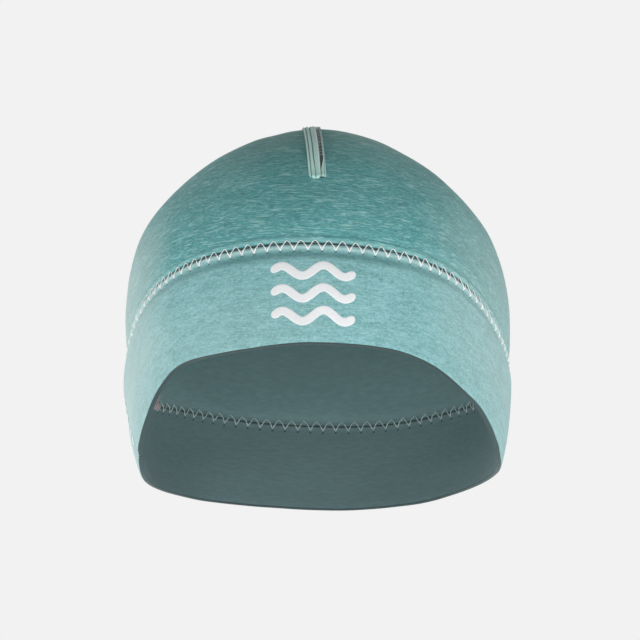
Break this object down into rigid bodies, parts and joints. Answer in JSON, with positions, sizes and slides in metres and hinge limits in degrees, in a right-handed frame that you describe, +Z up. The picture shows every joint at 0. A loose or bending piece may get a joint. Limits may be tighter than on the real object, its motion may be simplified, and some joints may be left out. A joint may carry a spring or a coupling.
{
  "type": "neoprene beanie",
  "caption": "Close-fitting domed neoprene beanie: a smooth crown sewn edge to edge to a headband, with a ribbed tape over the crown's middle seam, in the form it takes on a head.",
  "frame": {"origin": "middle of the head opening, halfway between the rim's front and back", "axes": "+Z up as worn, -Y to the front of the head, +X to the wearer's left; the rim's front is about 20 degrees higher than its back"},
  "size_m": [0.1648, 0.2209, 0.1614],
  "materials": {
    "heather_jersey": "matte heathered polyester jersey bonded to neoprene foam, mint and teal yarns",
    "ribbed_tape": "soft ribbed stretch tape, pale mint"
  },
  "bodies": {
    "root": {"crown": "heather_jersey", "band": "heather_jersey", "crown_tape": "ribbed_tape"}
  },
  "joints": []
}
